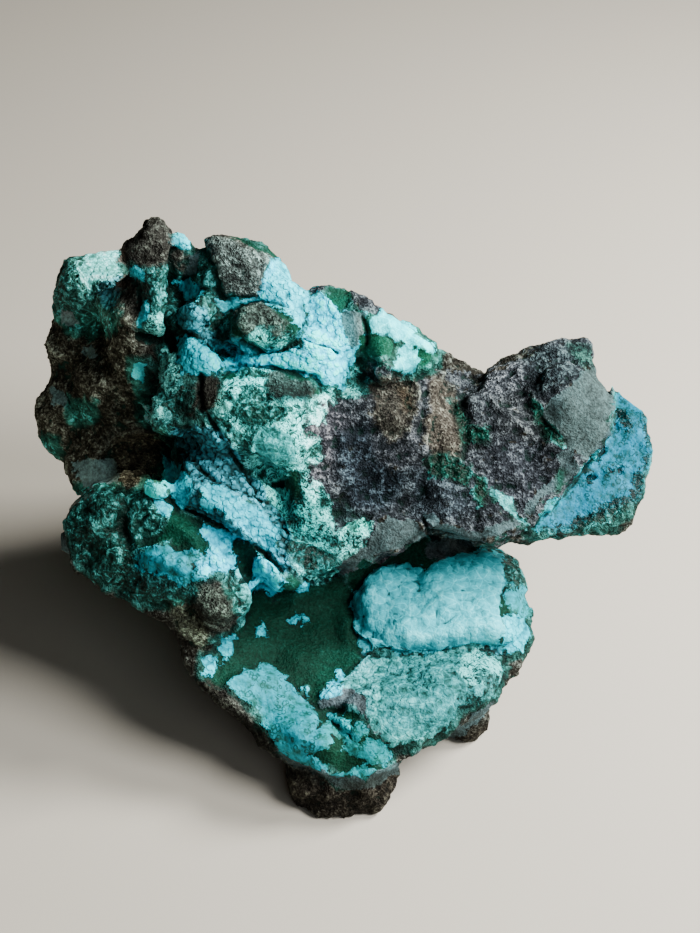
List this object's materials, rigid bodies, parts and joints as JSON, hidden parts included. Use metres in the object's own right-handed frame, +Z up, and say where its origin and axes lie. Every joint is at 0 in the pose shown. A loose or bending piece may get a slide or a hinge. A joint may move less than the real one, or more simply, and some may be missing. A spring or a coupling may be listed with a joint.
{
  "type": "chrysocolla mineral specimen",
  "caption": "Natural blue-green crusted copper ore specimen that stands on a low ledge, with a leaning mass, an overhanging slab and side lobes.",
  "frame": {"origin": "bottom centre of the bounding box, on the surface that the specimen stands on", "axes": "+X to the right along the longest extent, towards the overhanging tip, +Y to the back, away from the ledge, +Z up"},
  "size_m": [0.1316, 0.0998, 0.094],
  "materials": {
    "chrysocolla_crust": "matt to waxy crust on granular dark matrix"
  },
  "bodies": {
    "root": {"specimen": "chrysocolla_crust"}
  },
  "joints": []
}
